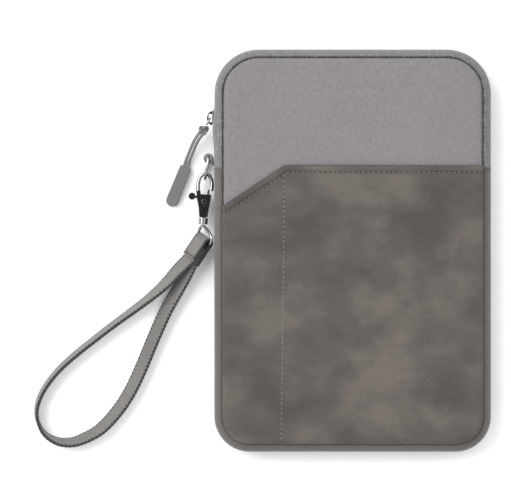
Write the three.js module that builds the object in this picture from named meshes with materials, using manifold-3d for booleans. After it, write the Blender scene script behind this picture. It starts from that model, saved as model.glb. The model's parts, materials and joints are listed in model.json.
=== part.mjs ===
// Tablet case: a padded zip sleeve with a slip pocket, a cord puller and a clip-on wrist strap.
// Millimetres. The case lies on its back: +Z out of the front panel, +Y to the zipped top end.
// The origin is the middle of the flat back.
import * as THREE from "three";
import { mergeVertices } from "three/addons/utils/BufferGeometryUtils.js";
import Module from "manifold-3d";

const wasm = await Module();
wasm.setup();

// Driving dimensions
const WIDTH = 165;
const LENGTH = 240;
const TOP_RADIUS = 26.5;
const BOTTOM_RADIUS = 21;
const THICKNESS = 20;
const MID_Z = THICKNESS / 2;
const COVER = 1;
const FOAM = 3;
const LINING = 0.8;
const RIM = 5;
const RIM_GAP = 0.3;
const RIM_WALL = 1.8;
const FOLD_Y = 51.5;
const SEAM_Y = 48.6;
const POCKET_Y = 50;
const POCKET_SLOPE_X = [-40, -76.4];
const POCKET_SLOPE_Y = 26.3;
const POCKET_THICKNESS = 1.2;
const ZIP_HALF_GAP = 3.5;
const SLIDER_Y = 79;
const LOOP_X = -85.9;
const LOOP_Y = 54.9;
const CLASP_Z = 8;
const STRAP_WIDTH = 10;
const STRAP_THICKNESS = 2;
const GAP = 0.3;

const rad = THREE.MathUtils.degToRad;
const part = new THREE.Group();

const colours = {
  weave: { color: 0x92908f, roughness: 0.95, metalness: 0 },
  edge: { color: 0x878583, roughness: 0.95, metalness: 0 },
  foam: { color: 0x4a4a4a, roughness: 1, metalness: 0 },
  lining: { color: 0x5c5b5b, roughness: 1, metalness: 0 },
  leather: { color: 0x6a6662, roughness: 0.85, metalness: 0 },
  thread: { color: 0x5a5754, roughness: 0.9, metalness: 0 },
  tape: { color: 0x77757a, roughness: 0.9, metalness: 0 },
  coil: { color: 0x6e6c6c, roughness: 0.5, metalness: 0 },
  metal: { color: 0xc4c4c6, roughness: 0.18, metalness: 1 },
  rubber: { color: 0x868583, roughness: 0.75, metalness: 0 },
  cord: { color: 0x8c8a88, roughness: 0.9, metalness: 0 },
  band: { color: 0x84827f, roughness: 0.85, metalness: 0 },
};

function addMesh(name, geometry, colour, parent = part) {
  const mesh = new THREE.Mesh(geometry, new THREE.MeshStandardMaterial(colours[colour]));
  mesh.name = name;
  parent.add(mesh);
  return mesh;
}

// Solids for joining and cutting
function toSolid(geometry) {
  const bare = new THREE.BufferGeometry();
  bare.setAttribute("position", geometry.getAttribute("position").clone());
  bare.setIndex(geometry.index);
  const merged = mergeVertices(bare, 1e-4);
  const vertProperties = new Float32Array(merged.getAttribute("position").array);
  const triVerts = new Uint32Array(merged.index.array);
  return new wasm.Manifold(new wasm.Mesh({ numProp: 3, vertProperties, triVerts }));
}

function toGeometry(solid) {
  const mesh = solid.getMesh();
  const geometry = new THREE.BufferGeometry();
  geometry.setAttribute("position", new THREE.BufferAttribute(new Float32Array(mesh.vertProperties), 3));
  geometry.setIndex(new THREE.BufferAttribute(new Uint32Array(mesh.triVerts), 1));
  return geometry;
}

function box(low, high) {
  const size = high.map((value, axis) => value - low[axis]);
  const geometry = new THREE.BoxGeometry(...size);
  geometry.translate(...high.map((value, axis) => (value + low[axis]) / 2));
  return toSolid(geometry);
}

// A prism of a flat outline, from one height to another
function prism(shape, low, high, curveSegments = 8) {
  const depth = high - low;
  const geometry = new THREE.ExtrudeGeometry(shape, { depth, bevelEnabled: false, curveSegments });
  geometry.translate(0, 0, low);
  return geometry;
}

function polygon(points) {
  return new THREE.Shape(points.map(([x, y]) => new THREE.Vector2(x, y)));
}

// A closed outline through the points, rounded as one smooth curve
function smoothShape(points, divisions) {
  const through = points.map(([x, y]) => new THREE.Vector3(x, y, 0));
  const curve = new THREE.CatmullRomCurve3(through, true, "centripetal");
  const outline = curve.getPoints(divisions).slice(0, -1);
  return new THREE.Shape(outline.map((p) => new THREE.Vector2(p.x, p.y)));
}

// A round bar along Z
function bar(x, y, low, high, radius, sides = 16) {
  const geometry = new THREE.CylinderGeometry(radius, radius, high - low, sides);
  geometry.rotateX(Math.PI / 2);
  geometry.translate(x, y, (low + high) / 2);
  return toSolid(geometry);
}

// A bent wire of round section along a curve
function wire(points, radius, steps, closed = false, sides = 8) {
  const through = points.map((p) => new THREE.Vector3(...p));
  const extrudePath = new THREE.CatmullRomCurve3(through, closed, "centripetal");
  const section = new THREE.Shape();
  section.absarc(0, 0, radius, 0, Math.PI * 2);
  const curveSegments = sides / 2;
  return new THREE.ExtrudeGeometry(section, { steps, extrudePath, curveSegments, bevelEnabled: false });
}

// The outline of the case seen from the front, inset all round
function caseOutline(inset) {
  const x = WIDTH / 2 - inset;
  const y = LENGTH / 2 - inset;
  const top = TOP_RADIUS - inset;
  const bottom = BOTTOM_RADIUS - inset;
  const shape = new THREE.Shape();
  shape.moveTo(-x + bottom, -y);
  shape.lineTo(x - bottom, -y);
  shape.absarc(x - bottom, -y + bottom, bottom, -Math.PI / 2, 0);
  shape.lineTo(x, y - top);
  shape.absarc(x - top, y - top, top, 0, Math.PI / 2);
  shape.lineTo(-x + top, y);
  shape.absarc(-x + top, y - top, top, Math.PI / 2, Math.PI);
  shape.lineTo(-x, -y + bottom);
  shape.absarc(-x + bottom, -y + bottom, bottom, Math.PI, Math.PI * 1.5);
  return shape;
}

// The case's rounded block, inset by the wall
function roundedBlock(wall) {
  const round = RIM - wall;
  const bulge = 6 - wall;
  const low = 0.5 + wall;
  const depth = THICKNESS - 2 * (low + bulge);
  const geometry = new THREE.ExtrudeGeometry(caseOutline(wall), {
    depth,
    bevelThickness: bulge,
    bevelSize: round,
    bevelOffset: -round,
    bevelSegments: 3,
    curveSegments: 6,
  });
  geometry.translate(0, 0, low + bulge);
  return toSolid(geometry);
}

const rim = roundedBlock(0)
  .subtract(roundedBlock(RIM_WALL))
  .subtract(toSolid(prism(caseOutline(RIM - RIM_GAP), -1, THICKNESS + 1, 6)));

function rimPart(low, high) {
  return toGeometry(rim.intersect(box(low, high)));
}

const FAR = 200;
addMesh("bottom_gusset", rimPart([-FAR, -FAR, -1], [FAR, SEAM_Y, THICKNESS]), "edge");
addMesh("zip_strip_back", rimPart([-FAR, FOLD_Y + GAP, -1], [FAR, FAR, MID_Z - ZIP_HALF_GAP]), "edge");
addMesh("zip_strip_front", rimPart([-FAR, FOLD_Y + GAP, MID_Z + ZIP_HALF_GAP], [FAR, FAR, THICKNESS]), "edge");

// Panels: woven cover, foam and lining, the front in two parts that meet at the fold
function panel(name, low, high, yLow, yHigh, colour) {
  const sheet = toSolid(prism(caseOutline(RIM), low, high, 6));
  addMesh(name, toGeometry(sheet.intersect(box([-FAR, yLow, -1], [FAR, yHigh, THICKNESS + 5]))), colour);
}

const backFoamTop = COVER + FOAM;
const frontFoamLow = THICKNESS - COVER - FOAM;
const LINING_TOP = backFoamTop + LINING;
const FRONT_LINING_LOW = frontFoamLow - LINING;
panel("back_cover", 0, COVER, -FAR, FAR, "weave");
panel("back_foam", COVER, backFoamTop, -FAR, FAR, "foam");
panel("back_lining", backFoamTop, LINING_TOP, -FAR, FAR, "lining");
for (const [half, yLow, yHigh] of [["lower", -FAR, FOLD_Y - GAP], ["upper", FOLD_Y, FAR]]) {
  panel(`front_lining_${half}`, FRONT_LINING_LOW, frontFoamLow, yLow, yHigh, "lining");
  panel(`front_foam_${half}`, frontFoamLow, THICKNESS - COVER, yLow, yHigh, "foam");
  panel(`front_cover_${half}`, THICKNESS - COVER, THICKNESS, yLow, yHigh, "weave");
}

// Flat tapes that follow the case's edge
function edgeTape(outer, inner, low, high, yLow, yHigh) {
  const ring = toSolid(prism(caseOutline(outer), low, high, 6)).subtract(
    toSolid(prism(caseOutline(inner), low - 1, high + 1, 6)),
  );
  return toGeometry(ring.intersect(box([-FAR, yLow, -1], [FAR, yHigh, THICKNESS + 1])));
}

const BINDING = [5.2, 7.5];
addMesh("binding_back", edgeTape(...BINDING, LINING_TOP, LINING_TOP + 1.2, -FAR, FAR), "tape");
const bindingFront = [...BINDING, FRONT_LINING_LOW - 1.2, FRONT_LINING_LOW];
addMesh("binding_front_lower", edgeTape(...bindingFront, -FAR, FOLD_Y - GAP), "tape");
addMesh("binding_front_upper", edgeTape(...bindingFront, FOLD_Y, FAR), "tape");

// Zip: woven tape behind each strip's edge, and a coil along each tape
const CHAIN_GAP = 0.6;
const CHAIN_DEPTH = 1.3;
const CHAIN = [0.7, 2.1];
const TAPE = [2.1, 2.7];
const TAPE_REACH = 4.6;
const zipLow = FOLD_Y + GAP;
const chainBack = MID_Z - CHAIN_GAP;
const chainFront = MID_Z + CHAIN_GAP;
addMesh("zip_tape_back", edgeTape(...TAPE, MID_Z - TAPE_REACH, chainBack, zipLow, FAR), "tape");
addMesh("zip_tape_front", edgeTape(...TAPE, chainFront, MID_Z + TAPE_REACH, zipLow, FAR), "tape");
addMesh("zip_chain_back", edgeTape(...CHAIN, chainBack - CHAIN_DEPTH, chainBack, zipLow, FAR), "coil");
addMesh("zip_chain_front", edgeTape(...CHAIN, chainFront, chainFront + CHAIN_DEPTH, zipLow, FAR), "coil");
for (const [name, side] of [["zip_stop_left", -1], ["zip_stop_right", 1]]) {
  const inside = side * (WIDTH / 2 - 4.2);
  const outside = side * (WIDTH / 2 - 2);
  const low = [Math.min(inside, outside), SEAM_Y + GAP, MID_Z - 3];
  const high = [Math.max(inside, outside), SEAM_Y + 2.4, MID_Z + 3];
  addMesh(name, toGeometry(box(low, high)), "tape");
}

// Slip pocket on the front, with a sloping corner and a turned edge
const pocketLow = THICKNESS + 0.2;
const pocketTop = pocketLow + POCKET_THICKNESS;
const HEM = 3;
const HEM_THICKNESS = 0.6;
// The slope runs on past the case's edge, where the outline cuts it off
const slopeFoot = [POCKET_SLOPE_X[1] - 12, POCKET_SLOPE_Y - 7.9];
function pocketArea(drop) {
  return polygon([
    [-WIDTH, -LENGTH],
    [WIDTH, -LENGTH],
    [WIDTH, POCKET_Y - drop],
    [POCKET_SLOPE_X[0] + drop * 0.3, POCKET_Y - drop],
    [slopeFoot[0] + drop * 0.55, slopeFoot[1] - drop * 0.83],
    [-WIDTH, slopeFoot[1] - drop * 0.83],
  ]);
}
function pocketLayer(low, high, inset, drop) {
  const sheet = toSolid(prism(caseOutline(inset), low, high, 6));
  return sheet.intersect(toSolid(prism(pocketArea(drop), low - 1, high + 1)));
}
addMesh("pocket_panel", toGeometry(pocketLayer(pocketLow, pocketTop, RIM - 0.4, 0)), "leather");
const hem = pocketLayer(pocketTop, pocketTop + HEM_THICKNESS, RIM - 0.4, 0).subtract(
  toSolid(prism(pocketArea(HEM), pocketTop - 1, pocketTop + 2)),
);
addMesh("pocket_hem", toGeometry(hem), "leather");
const THREAD = 0.5;
const dividerFoot = [-42.6, -LENGTH / 2 + RIM + 2];
const divider = polygon([
  [POCKET_SLOPE_X[0] - 0.7, POCKET_Y - 7],
  [dividerFoot[0] - THREAD / 2, dividerFoot[1]],
  [dividerFoot[0] + THREAD / 2, dividerFoot[1]],
  [POCKET_SLOPE_X[0] - 0.7 + THREAD, POCKET_Y - 7],
]);
addMesh("divider_thread", prism(divider, pocketTop, pocketTop + 0.4), "thread");
const hemThread = pocketLayer(pocketTop, pocketTop + 0.4, RIM + 1, HEM + 0.6).subtract(
  toSolid(prism(pocketArea(HEM + 1.1), pocketTop - 1, pocketTop + 2)),
);
addMesh("hem_thread", toGeometry(hemThread), "thread");

// Zip slider: outer and inner plates on the chain, joined by a post between the coils
const edgeX = -WIDTH / 2;
const sliderBlock = (x, y, half) => box(
  [edgeX + x[0], SLIDER_Y + y[0], MID_Z - half],
  [edgeX + x[1], SLIDER_Y + y[1], MID_Z + half],
);
const sliderOuter = sliderBlock([-1, -0.2], [-5, 5], 3);
const sliderInner = sliderBlock([3, 3.8], [-4.5, 4.5], 3);
const sliderPost = sliderBlock([-0.5, 3.4], [-4.4, -1], 0.25);
addMesh("slider_body", toGeometry(sliderOuter.add(sliderInner).add(sliderPost)), "metal");
const bridgeBlock = toSolid(prism(smoothShape([
  [edgeX - 1.02, SLIDER_Y - 4.2],
  [edgeX - 1.02, SLIDER_Y + 4.2],
  [edgeX - 3.2, SLIDER_Y + 3.4],
  [edgeX - 4.4, SLIDER_Y + 1],
  [edgeX - 4.4, SLIDER_Y - 1],
  [edgeX - 3.2, SLIDER_Y - 3.4],
], 24), MID_Z - 1.2, MID_Z + 1.2)).intersect(
  box([edgeX - 9, SLIDER_Y - 9, 0], [edgeX - 1, SLIDER_Y + 9, THICKNESS]),
);
const bridgeHole = box([edgeX - 3.3, SLIDER_Y - 2.4, 0], [edgeX - 1.5, SLIDER_Y + 2.4, THICKNESS]);
addMesh("slider_bridge", toGeometry(bridgeBlock.subtract(bridgeHole)), "metal");

// Puller: wire ring in the bridge, knot, doubled cord and rubber grip
const ringAt = [edgeX - 2.4, SLIDER_Y];
const PULL_ANGLE = rad(-119);
const RING_LENGTH = 4.4;
const RING_WIRE = 0.55;
const pullX = Math.cos(PULL_ANGLE);
const pullY = Math.sin(PULL_ANGLE);
const alongPull = (r, z) => [ringAt[0] + r * pullX, ringAt[1] + r * pullY, z];
const ringPoints = [
  alongPull(0, MID_Z),
  alongPull(0.8, MID_Z + 2),
  alongPull(RING_LENGTH / 2, MID_Z + 2.6),
  alongPull(RING_LENGTH - 0.8, MID_Z + 2),
  alongPull(RING_LENGTH, MID_Z),
  alongPull(RING_LENGTH - 0.8, MID_Z - 2),
  alongPull(RING_LENGTH / 2, MID_Z - 2.6),
  alongPull(0.8, MID_Z - 2),
];
addMesh("pull_ring", wire(ringPoints, RING_WIRE, 24, true, 6), "metal");
const knotGeometry = new THREE.SphereGeometry(2.8, 12, 8);
knotGeometry.scale(0.95, 1, 1);
const KNOT = alongPull(RING_LENGTH + 3.7, MID_Z - 1);
knotGeometry.translate(...KNOT);
addMesh("pull_knot", knotGeometry, "cord");
const CORD_RADIUS = 1.4;
const cordPoints = [
  [-91.2, 68.8, 7.8],
  [-92.8, 66.6, 6.8],
  [-94.8, 62.8, 5.4],
  [-96.3, 59.2, 4.1],
  [-97.8, 55.6, 3],
  [-98.9, 52.6, 2.3],
  [-99.3, 51.2, 2.15],
];
addMesh("pull_cord", wire(cordPoints, CORD_RADIUS, 10, false, 8), "cord");
const TAB_TOP = [-99.6, 50.1];
const TAB_END = [-107.5, 30.1];
const TAB_WIDTH = [6.8, 7.8];
const TAB_DEPTH = 3.6;
const tabAngle = Math.atan2(TAB_END[1] - TAB_TOP[1], TAB_END[0] - TAB_TOP[0]);
const tabLength = Math.hypot(TAB_END[0] - TAB_TOP[0], TAB_END[1] - TAB_TOP[1]);
const tabShape = new THREE.Shape();
tabShape.moveTo(0, -TAB_WIDTH[0] / 2);
tabShape.lineTo(tabLength, -TAB_WIDTH[1] / 2);
tabShape.absarc(tabLength, 0, TAB_WIDTH[1] / 2, -Math.PI / 2, Math.PI / 2);
tabShape.lineTo(0, TAB_WIDTH[0] / 2);
const tab = addMesh("pull_tab", prism(tabShape, 0.2, 0.2 + TAB_DEPTH), "rubber");
tab.position.set(TAB_TOP[0], TAB_TOP[1], 0);
tab.rotation.z = tabAngle;

// Fabric loop sewn into the left seam, with the D-ring's straight side through it
const LOOP_LOW = CLASP_Z - 4.6;
const LOOP_HIGH = CLASP_Z + 4.6;
const loopTail = toSolid(prism(polygon([
  [LOOP_X + 0.8, LOOP_Y - 2.6],
  [edgeX + 1.5, SEAM_Y + 0.8],
  [edgeX + 1.5, SEAM_Y + 2.5],
  [edgeX - 0.4, SEAM_Y + 3],
  [LOOP_X + 2.9, LOOP_Y],
]), LOOP_LOW, LOOP_HIGH));
const loopBody = bar(LOOP_X, LOOP_Y, LOOP_LOW, LOOP_HIGH, 3, 20)
  .add(loopTail)
  .subtract(bar(LOOP_X, LOOP_Y, 0, THICKNESS, 1.35, 16));
addMesh("ring_tab", toGeometry(loopBody), "edge");
const D_WIRE = 0.9;
const D_REACH = 12.6;
const D_HALF = 6.1;
const D_ANGLE = rad(-90 - 10);
const ringX = Math.cos(D_ANGLE);
const ringY = Math.sin(D_ANGLE);
const alongRing = (r, z) => [LOOP_X + r * ringX, LOOP_Y + r * ringY, CLASP_Z + z];
const ringCurve = [alongRing(0, -D_HALF + 0.6), alongRing(0, 0), alongRing(0, D_HALF - 0.6)];
for (let step = 0; step <= 6; step += 1) {
  const turn = Math.PI / 2 - (step / 6) * Math.PI;
  ringCurve.push(alongRing(D_REACH - D_HALF + D_HALF * Math.cos(turn), D_HALF * Math.sin(turn)));
}
addMesh("side_ring", wire(ringCurve, D_WIRE, 40, true, 8), "metal");

// Clasp, in its own frame: y = 0 where it hangs on the D-ring, the body towards -y
const claspGroup = new THREE.Group();
const CLASP_LEAN = rad(-3);
const CLASP_ORIGIN = alongRing(D_REACH - 1.9, 0);
claspGroup.position.set(...CLASP_ORIGIN);
claspGroup.rotation.z = CLASP_LEAN;
part.add(claspGroup);
const PIVOT_Y = -15.2;
const hookShape = polygon([
  [-4.9, -9.2], [-5.3, -6.5], [-5.2, -4], [-4.5, -1], [-3, 1.3], [-0.6, 2.5], [1.8, 2.2],
  [3.6, 0.6], [4.6, -2], [4.8, -5], [4.6, -8.8], [3.3, -9], [3.4, -5],
  [3.1, -2.4], [2.2, -0.6], [0.8, 0.1], [-0.8, 0], [-2.2, -1.4], [-2.9, -4], [-3, -6.5], [-2.6, -9.2],
]);
const cheekShape = polygon([
  [-4.9, -8.6], [-2.5, -8.6], [-2.3, -10.8], [3.9, -10.8], [4, -12.5],
  [3.1, -19], [2.5, -24.6], [-2.5, -24.6], [-3.1, -19], [-4.6, -12.5],
]);
const cheeks = toSolid(prism(cheekShape, -2.5, 2.5));
const hook = toSolid(prism(hookShape, -1.5, 1.5));
const slot = box([-9, -17.3, -1.3], [9, -9.6, 1.3]);
function alongClasp(radius, low, high) {
  const geometry = new THREE.CylinderGeometry(radius, radius, high - low, 16);
  geometry.translate(0, (low + high) / 2, 0);
  return toSolid(geometry);
}
const claspBody = cheeks
  .add(hook)
  .subtract(slot)
  .subtract(alongClasp(2.05, -22.6, -17))
  .subtract(alongClasp(1.3, -26, -22))
  .subtract(bar(0, PIVOT_Y, -4, 4, 1.1));
addMesh("clasp_body", toGeometry(claspBody), "metal", claspGroup);
const gateShape = polygon([
  [-1.9, PIVOT_Y - 0.4], [-1, PIVOT_Y - 1.7], [0.8, PIVOT_Y - 1.7], [1.9, PIVOT_Y],
  [2.8, -10.5], [2.9, -8], [1.7, -7.7], [1.4, -10.5],
  [0.6, PIVOT_Y + 1.9], [-1, PIVOT_Y + 2.1], [-6.5, -11.4], [-6.5, -13], [-1.9, PIVOT_Y + 1],
]);
const gate = toSolid(prism(gateShape, -1, 0.2))
  .add(bar(-7.4, -12.3, -1.9, 1.9, 2.2))
  .subtract(bar(0, PIVOT_Y, -4, 4, 1.1));
addMesh("clasp_gate", toGeometry(gate), "metal", claspGroup);
const rivet = bar(0, PIVOT_Y, -2.9, 2.9, 0.8)
  .add(bar(0, PIVOT_Y, -3.2, -2.7, 1.6))
  .add(bar(0, PIVOT_Y, 2.7, 3.2, 1.6));
addMesh("gate_rivet", toGeometry(rivet), "metal", claspGroup);
const spring = bar(0, PIVOT_Y, 0.45, 1.1, 1.9).subtract(bar(0, PIVOT_Y, 0, 2, 1.2));
addMesh("gate_spring", toGeometry(spring), "metal", claspGroup);

// Swivel stem and wire eye, which turn together about the clasp's long axis
const EYE_TOP = -28.8;
const pin = alongClasp(1.7, -22.3, -21)
  .add(alongClasp(1, -26, -22))
  .add(alongClasp(2.9, EYE_TOP, -24.9));
addMesh("swivel_pin", toGeometry(pin), "metal", claspGroup);
claspGroup.updateMatrixWorld(true);
const NECK = claspGroup.localToWorld(new THREE.Vector3(0, EYE_TOP - GAP - 0.75, 0));
const BAR = new THREE.Vector3(0.59, -0.39, 0.707).normalize();
const hang = new THREE.Vector3(-Math.sin(-CLASP_LEAN), -Math.cos(CLASP_LEAN), 0);
const REACH = hang.clone().addScaledVector(BAR, -hang.dot(BAR)).normalize();
const BAR_OFFSET = 4.4;
const BAR_DROP = 7.3;
const EYE_WIRE = 0.95;
const BAR_CENTRE = NECK.clone().addScaledVector(BAR, BAR_OFFSET).addScaledVector(REACH, BAR_DROP);
const eyePoint = (u, v) => BAR_CENTRE.clone()
  .addScaledVector(BAR, u)
  .addScaledVector(REACH, v)
  .toArray();
const eyePoints = [
  [-6.5, -2.2], [-6.2, -0.7], [-5.2, 0], [-2, 0], [0, 0], [2, 0], [5.2, 0], [6.2, -0.7], [6.5, -2.4],
  [6.2, -4], [3.5, -5.6], [-0.5, -6.9], [-3.8, -7.5], [-5.8, -6.4], [-6.5, -4.2],
].map(([u, v]) => eyePoint(u, v));
addMesh("strap_eye", wire(eyePoints, EYE_WIRE, 48, true, 8), "metal");

// Wrist strap: one flat band, standing on its edge on the far side and flat at the sewn end
const LAYER = STRAP_THICKNESS / 2 + 0.15;
const sewnAlong = new THREE.Vector3(-0.55, -0.835, 0);
sewnAlong.addScaledVector(BAR, -sewnAlong.dot(BAR)).normalize();
const sewnUp = new THREE.Vector3().crossVectors(sewnAlong, BAR).normalize();
const sewnPoint = (d, n) => BAR_CENTRE.clone()
  .addScaledVector(sewnAlong, d)
  .addScaledVector(sewnUp, n);
// Centre line of the loop: x, y, height of the band's centre, and the lean of its outer face
const SEWN_TILT = 45;
const loopPoints = [
  [-104.3, -11.6, 7.3, 42], [-110.4, -18.4, 6.9, 36], [-116.7, -24.4, 6.4, 29], [-123.2, -29.8, 5.9, 23],
  [-130.3, -35.2, 5.6, 20], [-137.6, -40.5, 5.5, 18], [-145.8, -46.6, 5.4, 17], [-154.3, -53.2, 5.4, 16],
  [-163, -60.1, 5.4, 15], [-171.3, -67.2, 5.4, 14], [-177.5, -73.5, 5.35, 13], [-182.8, -80.4, 5.3, 12],
  [-186.8, -87.6, 5.3, 11], [-188.8, -94.8, 5.25, 8], [-188.2, -101.8, 5.2, 4], [-184.6, -108.8, 5.2, -5],
  [-179, -113, 5.25, -14], [-172, -114.8, 5.3, -23], [-163.5, -113.6, 5.3, -31],
  [-151.2, -107.2, 5.15, -38], [-140.9, -96.4, 4.95, -42], [-132.8, -84.1, 4.9, -44],
  [-125.8, -69.2, 4.9, -45], [-118.9, -52.6, 5, -45], [-111.8, -36.8, 5.3, -45], [-105.4, -25.2, 5.7, -45],
  [-100, -15.4, 6.2, -45],
];
const sewnEnds = [4.5, 8, 11.5];
const upperEnd = sewnEnds.map((d) => [...sewnPoint(d, LAYER).toArray(), SEWN_TILT]);
const lowerEnd = sewnEnds.map((d) => [...sewnPoint(d, -LAYER).toArray(), -SEWN_TILT]).reverse();
const bandStations = [...upperEnd, ...loopPoints, ...lowerEnd];
function band(stations, width, thickness, steps) {
  const centres = stations.map((s) => new THREE.Vector3(s[0], s[1], s[2]));
  const path = new THREE.CatmullRomCurve3(centres, false, "centripetal");
  const positions = [];
  for (let step = 0; step <= steps; step += 1) {
    const t = step / steps;
    const centre = path.getPoint(t);
    const along = path.getTangent(t);
    const place = t * (stations.length - 1);
    const before = Math.min(Math.floor(place), stations.length - 2);
    const tilt = rad(THREE.MathUtils.lerp(stations[before][3], stations[before + 1][3], place - before));
    const outward = new THREE.Vector3(along.y, -along.x, 0).normalize();
    const wide = outward.multiplyScalar(-Math.sin(tilt));
    wide.z = Math.cos(tilt);
    wide.addScaledVector(along, -wide.dot(along)).normalize();
    const face = new THREE.Vector3().crossVectors(along, wide).normalize();
    for (const [w, f] of [[-1, -1], [1, -1], [1, 1], [-1, 1]]) {
      const corner = centre.clone();
      corner.addScaledVector(wide, (w * width) / 2);
      corner.addScaledVector(face, (f * thickness) / 2);
      positions.push(...corner.toArray());
    }
  }
  const index = [];
  for (let step = 0; step < steps; step += 1) {
    for (let side = 0; side < 4; side += 1) {
      const a = step * 4 + side;
      const b = step * 4 + ((side + 1) % 4);
      index.push(a, b, b + 4, a, b + 4, a + 4);
    }
  }
  const last = steps * 4;
  index.push(0, 2, 1, 0, 3, 2, last, last + 1, last + 2, last, last + 2, last + 3);
  const geometry = new THREE.BufferGeometry();
  geometry.setAttribute("position", new THREE.BufferAttribute(new Float32Array(positions), 3));
  geometry.setIndex(index);
  return geometry;
}
addMesh("wrist_strap", band(bandStations, STRAP_WIDTH, STRAP_THICKNESS, 84), "band");

// The wrap that holds the band's ends to the eye's bar, in the band's own directions
const wrapGroup = new THREE.Group();
wrapGroup.matrixAutoUpdate = false;
wrapGroup.matrix.makeBasis(sewnAlong, new THREE.Vector3().crossVectors(BAR, sewnAlong), BAR);
wrapGroup.matrix.setPosition(BAR_CENTRE);
part.add(wrapGroup);
const WRAP_INNER = 2 * LAYER + 0.3;
const WRAP_OUTER = WRAP_INNER + 0.9;
const WRAP_LENGTH = 13;
const TAIL = 2;
const wrapShape = new THREE.Shape();
wrapShape.moveTo(WRAP_LENGTH + TAIL, -WRAP_OUTER);
wrapShape.lineTo(WRAP_LENGTH + TAIL, -WRAP_INNER);
wrapShape.lineTo(0.5, -WRAP_INNER);
wrapShape.absarc(0.5, 0, WRAP_INNER, -Math.PI / 2, Math.PI / 2, true);
wrapShape.lineTo(WRAP_LENGTH, WRAP_INNER);
wrapShape.lineTo(WRAP_LENGTH, WRAP_OUTER);
wrapShape.lineTo(0.5, WRAP_OUTER);
wrapShape.absarc(0.5, 0, WRAP_OUTER, Math.PI / 2, -Math.PI / 2, false);
addMesh("strap_end_wrap", prism(wrapShape, -STRAP_WIDTH / 2, STRAP_WIDTH / 2, 10), "band", wrapGroup);
const stitch = polygon([
  [WRAP_LENGTH - 2, WRAP_OUTER + 0.05], [WRAP_LENGTH - 1.2, WRAP_OUTER + 0.05],
  [WRAP_LENGTH - 1.2, WRAP_OUTER + 0.5], [WRAP_LENGTH - 2, WRAP_OUTER + 0.5],
]);
addMesh("strap_stitch", prism(stitch, -4.2, 4.2), "thread", wrapGroup);

export default part;
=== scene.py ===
"""Padded tablet sleeve with a slip pocket, a cord zip puller and a clip-on wrist strap.

Lengths in this script are millimetres in the CAD frame, turned to metres by MM.
"""
import json
import math

import bmesh
import bpy
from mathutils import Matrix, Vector


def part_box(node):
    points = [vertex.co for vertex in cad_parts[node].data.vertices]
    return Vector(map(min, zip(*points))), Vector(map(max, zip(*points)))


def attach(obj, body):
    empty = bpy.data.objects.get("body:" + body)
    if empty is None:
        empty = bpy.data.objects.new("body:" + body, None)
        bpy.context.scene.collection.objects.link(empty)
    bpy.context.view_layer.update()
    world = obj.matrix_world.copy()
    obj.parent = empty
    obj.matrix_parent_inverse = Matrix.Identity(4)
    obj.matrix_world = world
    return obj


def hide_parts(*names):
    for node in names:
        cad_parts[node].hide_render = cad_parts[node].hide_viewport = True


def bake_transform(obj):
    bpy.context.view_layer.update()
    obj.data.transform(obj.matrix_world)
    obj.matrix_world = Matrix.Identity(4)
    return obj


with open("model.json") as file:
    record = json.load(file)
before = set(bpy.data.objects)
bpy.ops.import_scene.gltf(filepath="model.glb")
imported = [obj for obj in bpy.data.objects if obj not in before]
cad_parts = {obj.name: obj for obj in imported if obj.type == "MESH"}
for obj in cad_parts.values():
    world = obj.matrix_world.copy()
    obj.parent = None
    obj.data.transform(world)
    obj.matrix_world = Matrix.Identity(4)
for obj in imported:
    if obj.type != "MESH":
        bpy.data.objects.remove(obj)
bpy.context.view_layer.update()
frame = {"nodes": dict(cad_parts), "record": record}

MM = 0.001
WIDTH, LENGTH = 165.0, 240.0
TOP_RADIUS, BOTTOM_RADIUS = 26.5, 21.0
SEAM_Y = 48.6
RIM = 5.0
EDGE_X = -WIDTH / 2
SLIDER_Y = 79.0


def node_box(name):
    """A CAD node's lowest and highest corners, in millimetres."""
    return [Vector(corner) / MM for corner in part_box(name)]


FRONT_Z = node_box("front_cover_upper")[1].z
BACK_Z = node_box("back_cover")[0].z
POCKET_TOP = node_box("pocket_panel")[1].z
MID_Z = (FRONT_Z + BACK_Z) / 2


# Camera: straight above the case, with a long lens
VIEW_WIDTH = 305.0
VIEW_CENTRE = Vector((-57.9, 0.3, 10.0))
CAMERA_HEIGHT = 2600.0
camera_data = bpy.data.cameras.new("camera")
camera_data.sensor_width = 36
camera_data.lens = 36 * CAMERA_HEIGHT / VIEW_WIDTH
camera_data.clip_end = 20
camera = bpy.data.objects.new("camera", camera_data)
camera.location = (VIEW_CENTRE + Vector((0, 0, CAMERA_HEIGHT))) * MM
bpy.context.scene.collection.objects.link(camera)
bpy.context.scene.camera = camera


# Mesh helpers

def make_object(name, verts, faces, smooth=True):
    mesh = bpy.data.meshes.new(name)
    mesh.from_pydata([Vector(v) * MM for v in verts], [], faces)
    mesh.validate()
    mesh.update()
    obj = bpy.data.objects.new(name, mesh)
    bpy.context.scene.collection.objects.link(obj)
    if smooth:
        mesh.shade_smooth()
    return obj


def apply_modifiers(obj):
    bpy.context.view_layer.update()
    graph = bpy.context.evaluated_depsgraph_get()
    mesh = bpy.data.meshes.new_from_object(obj.evaluated_get(graph))
    old = obj.data
    obj.modifiers.clear()
    obj.data = mesh
    bpy.data.meshes.remove(old)
    mesh.shade_smooth()
    return obj


def recalc_normals(obj):
    cleaned = bmesh.new()
    cleaned.from_mesh(obj.data)
    bmesh.ops.remove_doubles(cleaned, verts=cleaned.verts, dist=1e-7)
    bmesh.ops.recalc_face_normals(cleaned, faces=cleaned.faces)
    cleaned.to_mesh(obj.data)
    cleaned.free()
    return obj


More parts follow.
